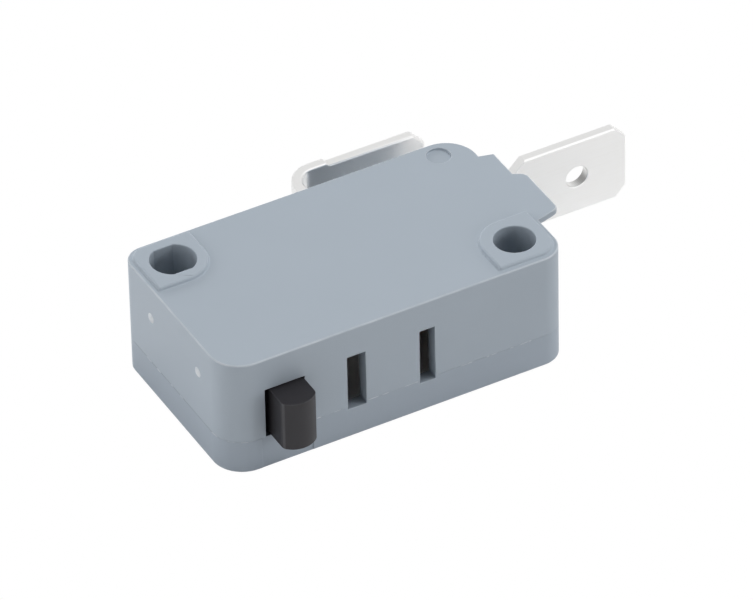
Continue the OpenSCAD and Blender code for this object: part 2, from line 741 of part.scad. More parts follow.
// One ring of points round the wire
function wire_ring(i) =
    let (d = wire_along(i), a = wire_across(i), b = cross(d, a))
    [for (k = [0:wire_sides - 1]) let (t = 360 * k / wire_sides)
        wire_path[i] + wire_d / 2 * (cos(t) * a + sin(t) * b)];

// The coil tension spring between the lever and the arm
module snap_spring() {
    rings = len(wire_path);
    slope = atan2(arm_hook_at[1] - lever_hook_at[1], arm_hook_at[0] - lever_hook_at[0]);
    side_faces = [for (i = [0:rings - 2], k = [0:wire_sides - 1]) let (n = (k + 1) % wire_sides)
        [i * wire_sides + k, (i + 1) * wire_sides + k, (i + 1) * wire_sides + n, i * wire_sides + n]];
    start_face = [for (k = [0:wire_sides - 1]) k];
    end_face = [for (k = [wire_sides - 1:-1:0]) (rings - 1) * wire_sides + k];
    color("#8d9094") placed()
        translate([lever_hook_at[0], lever_hook_at[1], mid_z]) rotate([0, 0, slope])
            polyhedron([for (i = [0:rings - 1]) each wire_ring(i)],
                       concat([start_face], side_faces, [end_face]));
}

case();
cover();
plunger();
common_terminal();
open_terminal();
open_contact();
contact_arm();
arm_contact();
trip_lever();
snap_spring();
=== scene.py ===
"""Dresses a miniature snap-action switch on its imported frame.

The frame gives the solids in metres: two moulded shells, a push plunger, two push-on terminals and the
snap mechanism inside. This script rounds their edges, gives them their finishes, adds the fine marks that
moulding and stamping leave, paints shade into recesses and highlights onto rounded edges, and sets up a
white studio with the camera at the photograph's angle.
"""

from __future__ import annotations

import json
import logging
import math
from collections.abc import Callable, Iterable
from dataclasses import dataclass
from enum import Enum, auto

import bmesh
import bpy
from mathutils import Matrix, Vector
from mathutils.geometry import convex_hull_2d, intersect_point_line

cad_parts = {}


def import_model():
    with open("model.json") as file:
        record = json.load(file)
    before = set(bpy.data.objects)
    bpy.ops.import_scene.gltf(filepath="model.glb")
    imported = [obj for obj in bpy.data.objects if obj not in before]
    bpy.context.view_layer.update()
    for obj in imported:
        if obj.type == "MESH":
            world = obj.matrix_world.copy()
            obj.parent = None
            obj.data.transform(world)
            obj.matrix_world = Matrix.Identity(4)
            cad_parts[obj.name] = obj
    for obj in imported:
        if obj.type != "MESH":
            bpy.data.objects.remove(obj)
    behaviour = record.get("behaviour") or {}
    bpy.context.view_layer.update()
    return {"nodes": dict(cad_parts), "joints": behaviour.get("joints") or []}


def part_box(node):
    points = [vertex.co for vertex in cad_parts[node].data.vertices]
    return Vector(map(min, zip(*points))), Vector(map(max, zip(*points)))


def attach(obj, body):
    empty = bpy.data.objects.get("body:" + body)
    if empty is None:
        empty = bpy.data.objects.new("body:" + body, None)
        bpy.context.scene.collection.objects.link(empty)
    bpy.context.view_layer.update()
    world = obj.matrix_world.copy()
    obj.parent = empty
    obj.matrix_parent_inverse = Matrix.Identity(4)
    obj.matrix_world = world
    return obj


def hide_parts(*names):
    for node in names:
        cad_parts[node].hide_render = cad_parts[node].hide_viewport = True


LOG = logging.getLogger("micro_switch")

# A millimetre in the frame's metres, a gap too small to see, and what counts as flush and as one point
MM = 0.001
HAIR = 0.01 * MM
FLUSH = HAIR / 10
SAME_POINT = HAIR / 100

# Angles between two faces: still one flat face, an edge to round, and an edge that is about square
FLAT_ANGLE = math.radians(0.1)
SHARP_ANGLE = math.radians(24)
SQUARE_ANGLE = math.radians(60)

# Shares of a normal along an axis: above the first a face leans, above the second it lies across the axis
LEANING = 0.01
ACROSS = 0.5

# Faces across a turned corner and across a rounded edge
CORNER_FACETS = 5
EDGE_FACETS = 3

# The masks on each mesh: rounded edges, lightened by wear and painted highlight, and recesses, with painted
# shade that grows by a power of the mark, and painted light below zero
RIM = "rim"
RECESS = "recess"
RECESS_FALL = 3.0

# The middle of a noise pattern's values
NOISE_MIDDLE = 0.5
BLACK = (0.0, 0.0, 0.0, 1.0)

Triple = tuple[float, float, float]
Colour = tuple[float, float, float, float]
EdgeRule = Callable[[bmesh.types.BMEdge], float | None]
CornerTest = Callable[[Vector, Vector], bool]


class Body(Enum):
    """The bodies that pieces ride on."""

    HOUSING = "housing"
    BUTTON = "button"
    LEVER = "lever"
    ARM = "arm"


class Slot(Enum):
    """The record's material slots."""

    CASE = "case_plastic"
    COVER = "cover_plastic"
    PLUNGER = "plunger_plastic"
    TERMINAL = "tinned_brass"
    CONTACT = "contact_silver"
    ARM = "arm_copper"
    LEVER = "lever_steel"
    SPRING = "spring_steel"


class Recess(Enum):
    """The shells' recesses with painted shade: the lever's windows, the plunger's throat, the open seam and
    so on; and the room inside, painted paler.
    """

    NONE = auto()
    WINDOW = auto()
    THROAT = auto()
    SEAM = auto()
    HOLE = auto()
    SHELF = auto()
    ROOM = auto()


def linear(hex_colour: str) -> Colour:
    """Turns a screen colour into the linear one that shaders take.

    Args:
        hex_colour: Six hexadecimal digits after a hash sign.

    Returns:
        Red, green, blue and a full alpha.
    """
    channels = [int(hex_colour[i : i + 2], 16) / 255 for i in (1, 3, 5)]
    red, green, blue = (c / 12.92 if c <= 0.04045 else ((c + 0.055) / 1.055) ** 2.4 for c in channels)
    return red, green, blue, 1.0


def link_object(name: str, data: bpy.types.ID) -> bpy.types.Object:
    """Makes an object of a mesh, light or camera, in the scene.

    Args:
        name: The object's name.
        data: The mesh, light or camera.

    Returns:
        The new object, at the origin.
    """
    made = bpy.data.objects.new(name, data)
    bpy.context.scene.collection.objects.link(made)
    return made


def apply_modifiers(piece: bpy.types.Object) -> bpy.types.Mesh:
    """Turns an object's modifiers into plain mesh.

    Args:
        piece: The object, which keeps no modifier.

    Returns:
        Its new mesh.
    """
    graph = bpy.context.evaluated_depsgraph_get()
    plain = bpy.data.meshes.new_from_object(piece.evaluated_get(graph), preserve_all_data_layers=True,
                                            depsgraph=graph)
    piece.modifiers.clear()
    piece.data = plain
    plain.name = piece.name
    return plain


class Graph:
    """A node tree that is being wired."""

    def __init__(self, tree: bpy.types.NodeTree) -> None:
        """Starts on an empty tree."""
        self.tree = tree
        tree.nodes.clear()

    def add(self, kind: str, inputs: dict | None = None, **settings: object) -> bpy.types.Node:
        """Adds one node.

        Args:
            kind: The node's type name.
            inputs: Values or source sockets, by input name, index or identifier.
            settings: Properties of the node itself.

        Returns:
            The new node.
        """
        node = self.tree.nodes.new(kind)
        for name, value in settings.items():
            setattr(node, name, value)
        for name, value in (inputs or {}).items():
            self.feed(node, name, value)
        return node

    def feed(self, node: bpy.types.Node, name: str | int, value: object) -> None:
        """Sets an input to a value, or links a source socket to it.

        Args:
            node: The node that takes the input.
            name: The input's name, index or identifier.
            value: A plain value or an output socket.
        """
        named = [s for s in node.inputs if s.identifier == name] if isinstance(name, str) else []
        socket = named[0] if named else node.inputs[name]
        if isinstance(value, bpy.types.NodeSocket):
            self.tree.links.new(value, socket)
        else:
            socket.default_value = value

    def maths(self, operation: str, *values: object) -> bpy.types.NodeSocket:
        """Adds a Math node and returns its result."""
        node = self.add("ShaderNodeMath", dict(enumerate(values)), operation=operation)
        return node.outputs[0]

    def blend(self, amount: object, first: object, second: object) -> bpy.types.NodeSocket:
        """Adds a Mix node for two colours.

        Args:
            amount: The second colour's share.
            first: One colour.
            second: The other.

        Returns:
            The mixed colour.
        """
        inputs = {"Factor_Float": amount, "A_Color": first, "B_Color": second}
        node = self.add("ShaderNodeMix", inputs, data_type="RGBA")
        return next(s for s in node.outputs if s.identifier == "Result_Color")

    def noise(self, vector: object, scale: object, detail: float = 2.0) -> bpy.types.NodeSocket:
        """Adds a noise pattern and returns its value."""
        node = self.add("ShaderNodeTexNoise", {"Vector": vector, "Scale": scale, "Detail": detail})
        return node.outputs[0]


class SurfaceGroups:
    """The shader node groups that several finishes share, each built once."""

    SKIN = {"Color": "Color", "Roughness": "Float", "Height": "Float"}

    def __init__(self) -> None:
        """Builds every group."""
        self.moulded = self._moulded_skin()
        self.wear_and_painted_light = self._rim_and_recess()
        self.rolled = self._rolled_sheet()

    @staticmethod
    def _open(name: str, inputs: dict[str, str], outputs: dict[str, str]) -> Graph:
        """Makes an empty group with its sockets.

        Args:
            name: The group's name.
            inputs: Socket kinds by input name.
            outputs: Socket kinds by output name.

        Returns:
            The graph to wire.
        """
        tree = bpy.data.node_groups.new(name, "ShaderNodeTree")
        for label, kind in inputs.items():
            tree.interface.new_socket(label, in_out="INPUT", socket_type=f"NodeSocket{kind}")
        for label, kind in outputs.items():
            tree.interface.new_socket(label, in_out="OUTPUT", socket_type=f"NodeSocket{kind}")
        return Graph(tree)

    def _moulded_skin(self) -> bpy.types.NodeTree:
        """Wires a slow drift of tone and gloss, and the fine grain of a spark-eroded mould.

        Returns:
            The group's tree.
        """
        inputs = {"Tone": "Color", "Pale": "Color", "Drift Scale": "Float", "Grain Scale": "Float"}
        inputs |= {"Rough": "Float", "Spread": "Float"}
        graph = self._open("moulded skin", inputs, self.SKIN)
        given = graph.add("NodeGroupInput").outputs
        place = graph.add("ShaderNodeTexCoord").outputs["Object"]
        drift = graph.noise(place, given["Drift Scale"], detail=3.0)
        grain = graph.noise(place, given["Grain Scale"], detail=1.0)
        swing = graph.maths("MULTIPLY", graph.maths("SUBTRACT", drift, NOISE_MIDDLE), given["Spread"])
        graph.add("NodeGroupOutput", {
            "Color": graph.blend(drift, given["Tone"], given["Pale"]),
            "Roughness": graph.maths("ADD", given["Rough"], swing),
            "Height": grain,
        })
        return graph.tree

    def _rim_and_recess(self) -> bpy.types.NodeTree:
        """Wires the painted light: rounded edges lightened unevenly, by wear and painted highlight, painted
        shade in recesses, and painted light that pales what is below zero.

        Returns:
            The group's tree.
        """
        inputs = {"Color": "Color", "Wear And Light": "Color", "Rim": "Float", "Lift": "Float", "Patch Scale": "Float"}
        inputs |= {"Recess": "Float", "Shade": "Float"}
        graph = self._open("rim and recess", inputs, {"Color": "Color"})
        given = graph.add("NodeGroupInput").outputs
        place = graph.add("ShaderNodeTexCoord").outputs["Object"]
        patches = graph.noise(place, given["Patch Scale"])
        amount = graph.maths("MULTIPLY", graph.maths("MULTIPLY", given["Rim"], given["Lift"]), patches)
        # Rounded edges lighten by wear and painted highlight
        edge_lightened = graph.blend(amount, given["Color"], given["Wear And Light"])
        # Painted shade, growing by a power of the recess mark
        hollow = graph.maths("POWER", graph.maths("MAXIMUM", given["Recess"], 0.0), RECESS_FALL)
        shaded = graph.blend(graph.maths("MULTIPLY", hollow, given["Shade"]), edge_lightened, BLACK)
        # Painted light, where the recess mark is below zero
        pale = graph.maths("MAXIMUM", graph.maths("MULTIPLY", given["Recess"], -1.0), 0.0)
        graph.add("NodeGroupOutput", {"Color": graph.blend(pale, shaded, given["Wear And Light"])})
        return graph.tree

    def _rolled_sheet(self) -> bpy.types.NodeTree:
        """Wires fine lines along the rolling direction and a cloudy plating.

        Returns:
            The group's tree.
        """
        inputs = {"Tone": "Color", "Dull": "Color", "Lines": "Vector", "Cloud Scale": "Float"}
        inputs |= {"Rough": "Float", "Spread": "Float"}
        graph = self._open("rolled sheet", inputs, self.SKIN)
        given = graph.add("NodeGroupInput").outputs
        place = graph.add("ShaderNodeTexCoord").outputs["Object"]
        stretched = graph.add("ShaderNodeMapping", {"Vector": place, "Scale": given["Lines"]}).outputs[0]
        lines = graph.noise(stretched, scale=1.0)
        cloud = graph.noise(place, given["Cloud Scale"], detail=3.0)
        both = graph.maths("MULTIPLY", graph.maths("ADD", lines, cloud), 1 / 2)
        swing = graph.maths("MULTIPLY", graph.maths("SUBTRACT", both, NOISE_MIDDLE), given["Spread"])
        graph.add("NodeGroupOutput", {
            "Color": graph.blend(both, given["Tone"], given["Dull"]),
            "Roughness": graph.maths("ADD", given["Rough"], swing),
            "Height": lines,
        })
        return graph.tree


@dataclass(frozen=True)
class Finish:
    """What every finish has: a tone, its variation, its edges' wear and painted highlight, and its painted
    shade. Patterns repeat per metre.
    """

    name: str
    tone: str
    second: str
    rough: float
    spread: float
    # The tone that edges lighten to by wear and painted highlight, and that painted light pales to; how far;
    # how dark painted shade gets
    wear_and_light_tone: str = "#ffffff"
    lift: float = 0.2
    shade: float = 0.85
    patch_scale: float = 900.0
    bump_depth: float = 1.0e-6

    def _start(self) -> tuple[bpy.types.Material, Graph, bpy.types.Node]:
        """Makes the material and its shader.

        Returns:
            The material, its graph and its Principled shader.
        """
        material = bpy.data.materials.new(self.name)
        material.use_nodes = True
        graph = Graph(material.node_tree)
        shader = graph.add("ShaderNodeBsdfPrincipled")
        graph.add("ShaderNodeOutputMaterial", {"Surface": shader.outputs[0]})
        return material, graph, shader

    def _dress(self, graph: Graph, shader: bpy.types.Node, skin: bpy.types.Node,
               wear_and_painted_light: bpy.types.NodeTree) -> None:
        """Feeds a skin group's outputs to the shader, with the rims' wear and painted highlight and the
        recesses' painted shade over it.

        Args:
            graph: The material's graph.
            shader: Its Principled shader.
            skin: The placed group with Color, Roughness and Height.
            wear_and_painted_light: The rim and recess group, which paints light and shade.
        """
        rim, recess = (graph.add("ShaderNodeAttribute", attribute_name=name).outputs["Fac"]
                       for name in (RIM, RECESS))
        edge = graph.add("ShaderNodeGroup", {
            "Color": skin.outputs["Color"], "Wear And Light": linear(self.wear_and_light_tone), "Rim": rim, "Lift": self.lift,
            "Patch Scale": self.patch_scale, "Recess": recess, "Shade": self.shade}, node_tree=wear_and_painted_light)
        bump = graph.add("ShaderNodeBump", {"Distance": self.bump_depth, "Height": skin.outputs["Height"]})
        graph.feed(shader, "Base Color", edge.outputs["Color"])
        graph.feed(shader, "Roughness", skin.outputs["Roughness"])
        graph.feed(shader, "Normal", bump.outputs[0])


@dataclass(frozen=True)
class MouldedFinish(Finish):
    """Injection-moulded plastic."""

    drift_scale: float = 160.0
    grain_scale: float = 7000.0
    specular: float = 0.5

    def build(self, groups: SurfaceGroups) -> bpy.types.Material:
        """Makes the material.

        Args:
            groups: The shared node groups.

        Returns:
            The finished material.
        """
        material, graph, shader = self._start()
        skin = graph.add("ShaderNodeGroup", {
            "Tone": linear(self.tone), "Pale": linear(self.second), "Rough": self.rough,
            "Spread": self.spread, "Drift Scale": self.drift_scale, "Grain Scale": self.grain_scale,
        }, node_tree=groups.moulded)
        graph.feed(shader, "Specular IOR Level", self.specular)
        self._dress(graph, shader, skin, groups.wear_and_painted_light)
        return material


@dataclass(frozen=True)
class MetalFinish(Finish):
    """Rolled, stamped or drawn metal."""

    lines: Triple = (300.0, 9000.0, 9000.0)
    cloud_scale: float = 420.0

    def build(self, groups: SurfaceGroups) -> bpy.types.Material:
        """Makes the material.

        Args:
            groups: The shared node groups.

        Returns:
            The finished material.
        """
        material, graph, shader = self._start()
        skin = graph.add("ShaderNodeGroup", {
            "Tone": linear(self.tone), "Dull": linear(self.second), "Rough": self.rough,
            "Spread": self.spread, "Lines": self.lines, "Cloud Scale": self.cloud_scale,
        }, node_tree=groups.rolled)
        graph.feed(shader, "Metallic", 1.0)
        self._dress(graph, shader, skin, groups.wear_and_painted_light)
        return material


# Each finish's edges lighten by wear and painted highlight, the terminals' the most, and its recesses take
# painted shade
FINISHES: dict[Slot, MouldedFinish | MetalFinish] = {
    Slot.CASE: MouldedFinish("case plastic", "#a2acb6", "#a6b0ba", 0.46, 0.06, lift=0.1),
    Slot.COVER: MouldedFinish("cover plastic", "#9ca6b1", "#a1abb6", 0.46, 0.06, lift=0.1),
    Slot.PLUNGER: MouldedFinish("plunger plastic", "#272528", "#2b2a2d", 0.40, 0.10, wear_and_light_tone="#8f8f94",
                                lift=0.15, bump_depth=2.0e-6, specular=0.28),
    Slot.TERMINAL: MetalFinish("tinned brass", "#ffffff", "#f7f6f4", 0.30, 0.10, lift=0.6),
    Slot.CONTACT: MetalFinish("contact silver", "#dcd8d0", "#c4bfb6", 0.38, 0.16, lift=0.4),
    Slot.ARM: MetalFinish("arm copper", "#c98f5a", "#a97546", 0.36, 0.16, wear_and_light_tone="#f0c79c", lift=0.5),
    Slot.LEVER: MetalFinish("lever steel", "#c3c5c8", "#a9abae", 0.34, 0.14, lift=0.5),
    Slot.SPRING: MetalFinish("spring steel", "#9a9ca0", "#77797d", 0.30, 0.14, lift=0.4),
}


class Workshop:
    """Copies solids, rounds their edges and hands the finished pieces to the frame."""

    def __init__(self, nodes: dict[str, bpy.types.Object]) -> None:
        """Prepares the finishes.

        Args:
            nodes: The frame's solids by name.
        """
        self.nodes = nodes
        self.pieces: list[tuple[bpy.types.Object, Body]] = []
        groups = SurfaceGroups()
        self.materials = {slot: finish.build(groups) for slot, finish in FINISHES.items()}

    def solid(self, node: str) -> bmesh.types.BMesh:
        """Copies a solid with its triangles merged into whole faces.

        Args:
            node: The solid's name.

        Returns:
            The copy, open for editing.
        """
        copy = bmesh.new()
        copy.from_mesh(self.nodes[node].data)
        bmesh.ops.remove_doubles(copy, verts=copy.verts, dist=SAME_POINT)
        bmesh.ops.dissolve_limit(copy, angle_limit=FLAT_ANGLE, verts=copy.verts, edges=copy.edges,
                                 use_dissolve_boundaries=False)
        for face in copy.faces:
            face.material_index = 0
        return copy

    @staticmethod
    def sharp_edges(solid: bmesh.types.BMesh) -> list[bmesh.types.BMEdge]:
        """Gives the edges between faces at an angle."""
        return [e for e in solid.edges if e.is_manifold and e.calc_face_angle() > SHARP_ANGLE]

    @staticmethod
    def turn_corners(solid: bmesh.types.BMesh, pick: CornerTest, radius: float) -> None:
        """Rounds upright corners, before the edges that run over them are rounded.

        Args:
            solid: The copy to work on.
            pick: Tells from an edge's two ends whether it is one of the corners.
            radius: How far the rounding reaches from the corner.
        """
        corners = [e for e in Workshop.sharp_edges(solid) if pick(*(vert.co for vert in e.verts))]
        bmesh.ops.bevel(solid, geom=corners, offset=radius, offset_type="OFFSET", segments=CORNER_FACETS,
                        profile=0.5, affect="EDGES", clamp_overlap=False, material=1)

    def rounded(self, name: str, solid: bmesh.types.BMesh, rule: EdgeRule) -> bpy.types.Object:
        """Rounds a solid's sharp edges and makes it an object.

        Args:
            name: The new object's name.
            solid: The copy to round, which is used up.
            rule: The width to round an edge by, or None for an edge to shade smoothly as it is.

        Returns:
            The object, at the origin, with a rim mask on its rounded faces.
        """
        layer = solid.edges.layers.float.new("bevel_weight_edge")
        sharp = self.sharp_edges(solid)
        widths = [rule(edge) for edge in sharp]
        widest = max(width or 0.0 for width in widths)
        for edge, width in zip(sharp, widths):
            edge.smooth = width is None
            edge[layer] = (width or 0.0) / widest
        piece = self.piece(name, solid)
        bevel = piece.modifiers.new("rounding", "BEVEL")
        bevel.limit_method = "WEIGHT"
        bevel.width = widest
        bevel.segments = EDGE_FACETS
        bevel.use_clamp_overlap = False
        bevel.material = 1
        return self.settle(piece)

    def piece(self, name: str, solid: bmesh.types.BMesh) -> bpy.types.Object:
        """Turns an open mesh into an object in the scene.

        Args:
            name: The object's name.
            solid: The mesh, which is freed.

        Returns:
            The new object.
        """
        mesh = bpy.data.meshes.new(name)
        for face in solid.faces:
            face.smooth = True
        solid.to_mesh(mesh)
        solid.free()
        return link_object(name, mesh)

    def settle(self, piece: bpy.types.Object) -> bpy.types.Object:
        """Turns an object's modifiers into plain mesh, with even normals and a rim mask.

        Args:
            piece: The object with its modifiers.

        Returns:
            The same object, with no modifier left.
        """
        mesh = piece.data
        while len(mesh.materials) < 2:
            mesh.materials.append(None)
        even = piece.modifiers.new("even normals", "WEIGHTED_NORMAL")
        even.keep_sharp = True
        plain = apply_modifiers(piece)
        # The rim mask marks the rounded faces, which the finishes lighten by wear and painted highlight
        mask = plain.attributes.new(RIM, "FLOAT", "FACE")
        mask.data.foreach_set("value", [float(face.material_index == 1) for face in plain.polygons])
        plain.polygons.foreach_set("material_index", [0] * len(plain.polygons))
        plain.materials.clear()
        return piece

    def hand_over(self, piece: bpy.types.Object, body: Body, slot: Slot, *nodes: str) -> None:
        """Gives a piece its finish and its body, and hides the solids that it stands for.

        Args:
            piece: The finished object.
            body: The body that it rides on.
            slot: Its material slot.
            nodes: The solids that it replaces.
        """
        piece.data.materials.clear()
        piece.data.materials.append(self.materials[slot])
        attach(piece, body.value)
        if nodes:
            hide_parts(*nodes)
        self.pieces.append((piece, body))


class GeometryTree(Graph):
    """A Geometry Nodes tree with named inputs, turned into plain mesh when it has run."""

    def __init__(self, name: str, inputs: dict[str, str]) -> None:
        """Makes the tree and its sockets.

        Args:
            name: The tree's name.
            inputs: Socket kinds by input name.
        """
        super().__init__(bpy.data.node_groups.new(name, "GeometryNodeTree"))
        interface = self.tree.interface
        interface.new_socket("Geometry", in_out="INPUT", socket_type="NodeSocketGeometry")
        for label, kind in inputs.items():
            interface.new_socket(label, in_out="INPUT", socket_type=f"NodeSocket{kind}")
        interface.new_socket("Material", in_out="INPUT", socket_type="NodeSocketMaterial")
        interface.new_socket("Geometry", in_out="OUTPUT", socket_type="NodeSocketGeometry")
        self.given = self.add("NodeGroupInput").outputs

    def close(self, geometry: bpy.types.NodeSocket) -> None:
        """Ends the tree in real, smooth geometry with its material.

        Args:
            geometry: The last shape or its instances.
        """
        real = self.add("GeometryNodeRealizeInstances", {"Geometry": geometry})
        smooth = self.add("GeometryNodeSetShadeSmooth", {"Geometry": real.outputs[0]})
        dressed = self.add("GeometryNodeSetMaterial", {"Geometry": smooth.outputs[0],
                                                       "Material": self.given["Material"]})
        self.add("NodeGroupOutput", {"Geometry": dressed.outputs[0]})

    def run(self, name: str, points: list[Vector], closed: bool,
            values: dict[str, object]) -> bpy.types.Object:
        """Runs the tree on a path and keeps the result as a plain mesh.

        Args:
            name: The new object's name.
            points: The path's points.
            closed: Whether the last point joins the first.
            values: The inputs by name, the material among them.

        Returns:
            The object, with no modifier left.
        """
        last = len(points) if closed else len(points) - 1
        mesh = bpy.data.meshes.new(name)
        mesh.from_pydata(points, [(i, (i + 1) % len(points)) for i in range(last)], [])
        piece = link_object(name, mesh)
        modifier = piece.modifiers.new(name, "NODES")
        modifier.node_group = self.tree
        for item in self.tree.interface.items_tree:
            if item.in_out == "INPUT" and item.name in values:
                modifier[item.identifier] = values[item.name]
        apply_modifiers(piece)
        return piece


@dataclass
class Housing:
    """The two moulded shells and the flash along their parting line."""

    # Features of the solids that the rules below look for
    boss_height: float = 0.3 * MM
    edge_radius: float = 0.12 * MM
    hole_reach: float = 1.8 * MM
    ring_from_end: float = 2.5 * MM
    ring_from_back: float = 1.45 * MM
    ring_reach: float = 1.1 * MM
    shelf_thickness: float = 0.5 * MM
    shelf_nose: float = 1.9 * MM
    opening_wall: float = 1.2 * MM
    skin: float = 0.5 * MM

    # Widths to round edges by
    boss_rim: float = 0.16 * MM
    boss_foot: float = 0.12 * MM
    hole_rim: float = 0.07 * MM
    ring_rim: float = 0.04 * MM
    shelf_rim: float = 0.1 * MM
    shelf_corner: float = 0.4 * MM
    cut_rim: float = 0.05 * MM
    parting_rim: float = 0.025 * MM
    pip_rim: float = 0.03 * MM

    # The rim mask: the slopes between which a face belongs to a rounded ridge, and how bright the painted
    # highlights on rims are
    round_slopes: tuple[float, float] = (0.08, 0.997)
    ridge_lift: float = 3.0
    pip_lift: float = 8.0
    shelf_lift: float = 6.0
    flash_lift: float = 5.0

    # The recess mask, which paints shade: how dark recesses are, how pale the room inside is painted, the
    # depth at which a hole's painted shade is darkest and where the seam is open
    throat_shade: float = 0.95
    seam_shade: float = 0.75
    shelf_shade: float = 0.5
    room_painted_light: float = -1.0
    dark_hole: float = 4.0 * MM
    seam_stretch: tuple[float, float] = (3.1 * MM, 7.0 * MM)

    # Flash along the parting line, which stays clear of the solids that pass through it
    flash_count: int = 170
    flash_share: float = 0.3
    flash_size: Triple = (0.045 * MM, 0.045 * MM, 0.3 * MM)
    flash_least: Triple = (0.5, 0.5, 0.3)
    flash_most: Triple = (1.0, 1.0, 1.6)
    flash_seed: int = 361
    flash_margin: float = 0.3 * MM
    flash_gaps: tuple[str, ...] = ("plunger", "open_terminal")

    def __post_init__(self) -> None:
        """Reads the body's outline from the frame. Its end is as far from the origin as its front."""
        upper_low, upper_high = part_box("case")
        lower_low, lower_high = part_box("cover")
        self.left, self.front, self.face_low = lower_low + Vector((0, 0, self.boss_height))
        self.parting = upper_low.z
        self.back = lower_high.y
        self.end = -self.front
        self.face_high = upper_high.z - self.boss_height
        self.throat = [corner.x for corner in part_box("plunger")]
        self.hull = self.outline()

    def depth(self, point: Vector) -> float:
        """Gives how far a point lies inside the body's box.

        Args:
            point: The point.

        Returns:
            The distance to the nearest side, below zero outside the box.
        """
        walls = (point.x - self.left, self.end - point.x, point.y - self.front, self.back - point.y)
        faces = (self.face_high - point.z, point.z - self.face_low)
        return min(*walls, *faces)

    def outside(self, point: Vector) -> bool:
        """Tells whether a point is on the body's outer skin."""
        return self.depth(point) < HAIR

    def edge_width(self, edge: bmesh.types.BMEdge) -> float | None:
        """Gives the width to round one sharp edge of a shell by.

        Args:
            edge: The edge.

        Returns:
            The width, nothing for an edge inside the body or in the run-out of a rounded edge, or None
            for the facets of an edge that is round already.
        """
        start, stop = (vert.co for vert in edge.verts)
        middle = (start + stop) / 2
        level = abs(start.z - stop.z) < HAIR
        proud = max(middle.z - self.face_high, self.face_low - middle.z)
        if self._on_ring(middle):
            return self.ring_rim
        if -self.edge_radius < proud < 0 and all(abs(face.normal.z) > LEANING for face in edge.link_faces):
            return None
        if level and abs(middle.z - self.parting) < HAIR:
            return self.parting_rim if self._on_outline(start) and self._on_outline(stop) else 0.0
        if not (self.outside(start) and self.outside(stop)):
            return 0.0
        if middle.x < self.left + HAIR:
            return self.pip_rim if middle.x < self.left - HAIR else 0.0
        if max(start.x, stop.x) > self.end + HAIR:
            if min(start.x, stop.x) > self.end + HAIR:
                return self.shelf_rim
            run_out = abs(start.y - stop.y) / (start - stop).length
            return min(self.shelf_rim, (self.edge_radius - HAIR) * run_out)
        if proud > self.boss_height / 2:
            return self.hole_rim if self._at_hole(middle) else self.boss_rim
        if middle.x > self.end - self.edge_radius - HAIR and proud > -self.shelf_thickness - HAIR:
            return 0.0
        if level and abs(proud) < FLUSH:
            return self.boss_foot
        return 0.0 if proud > -self.edge_radius - HAIR else self.cut_rim

    def _on_outline(self, point: Vector) -> bool:
        """Tells whether a point at the parting line is on the body's outline."""
        sides = zip(self.hull, self.hull[1:] + self.hull[:1])
        return min((point - intersect_point_line(point, *side)[0]).length for side in sides) < HAIR

    def _at_hole(self, point: Vector) -> bool:
        """Tells whether a point is beside one of the two mounting holes."""
        holes = (Vector((0, 0)), Vector((self.left + self.end, self.back - self.end)))
        return min((point.to_2d() - hole).length for hole in holes) < self.hole_reach

    def _on_ring(self, point: Vector) -> bool:
        """Tells whether a point near the upper face belongs to the ejector's ring."""
        middle = Vector((self.end - self.ring_from_end, self.back - self.ring_from_back))
        return point.z > self.parting and (point.to_2d() - middle).length < self.ring_reach

    def _at_shelf_tip(self, start: Vector, stop: Vector) -> bool:
        """Tells whether an edge is the upright corner at the shelf's tip."""
        return abs(start.z - stop.z) > HAIR and min(start.x, stop.x) > self.end + self.shelf_nose

    def build(self, shop: Workshop) -> None:
        """Makes the shells and the fine marks on them.

        Args:
            shop: The workshop.
        """
        for node, slot in (("case", Slot.CASE), ("cover", Slot.COVER)):
            solid = shop.solid(node)
            shop.turn_corners(solid, self._at_shelf_tip, self.shelf_corner)
            shell = shop.rounded(f"{node}_shell", solid, self.edge_width)
            self._mark_rims(shell.data)
            self._mark_recesses(shell.data)
            shop.hand_over(shell, Body.HOUSING, slot, node)
        self._flash(shop)

    def _mark_rims(self, mesh: bpy.types.Mesh) -> None:
        """Sets the shell's rim mask: painted highlights on the pips, the ridges and the shelf's rounded
        edges, and none on the bosses, which don't stand out.

        Args:
            mesh: The shell's mesh.
        """
        mask = mesh.attributes[RIM].data
        steepest, flattest = self.round_slopes
        for face in mesh.polygons:
            proud = max(face.center.z - self.face_high, self.face_low - face.center.z)
            round_edge = steepest < abs(face.normal.z) < flattest
            if face.center.x < self.left - HAIR:
                mask[face.index].value = self.pip_lift
            elif proud > 0:
                mask[face.index].value = 0.0
            elif face.center.x > self.end + HAIR and round_edge and face.normal.z > 0:
                mask[face.index].value = self.shelf_lift
            elif round_edge and proud > -self.edge_radius and self.depth(face.center) < self.edge_radius:
                mask[face.index].value = self.ridge_lift

    def _mark_recesses(self, mesh: bpy.types.Mesh) -> None:
        """Sets the shell's recess mask, corner by corner: painted shade in the openings, holes, seam and
        shelf front, and painted light in the room inside.

        Args:
            mesh: The shell's mesh.
        """
        marks = mesh.attributes.new(RECESS, "FLOAT", "CORNER").data
        for face in mesh.polygons:
            recess = self._recess_of(face)
            for corner in face.loop_indices:
                point = mesh.vertices[mesh.loops[corner].vertex_index].co
                marks[corner].value = self._recess_mark(recess, point)

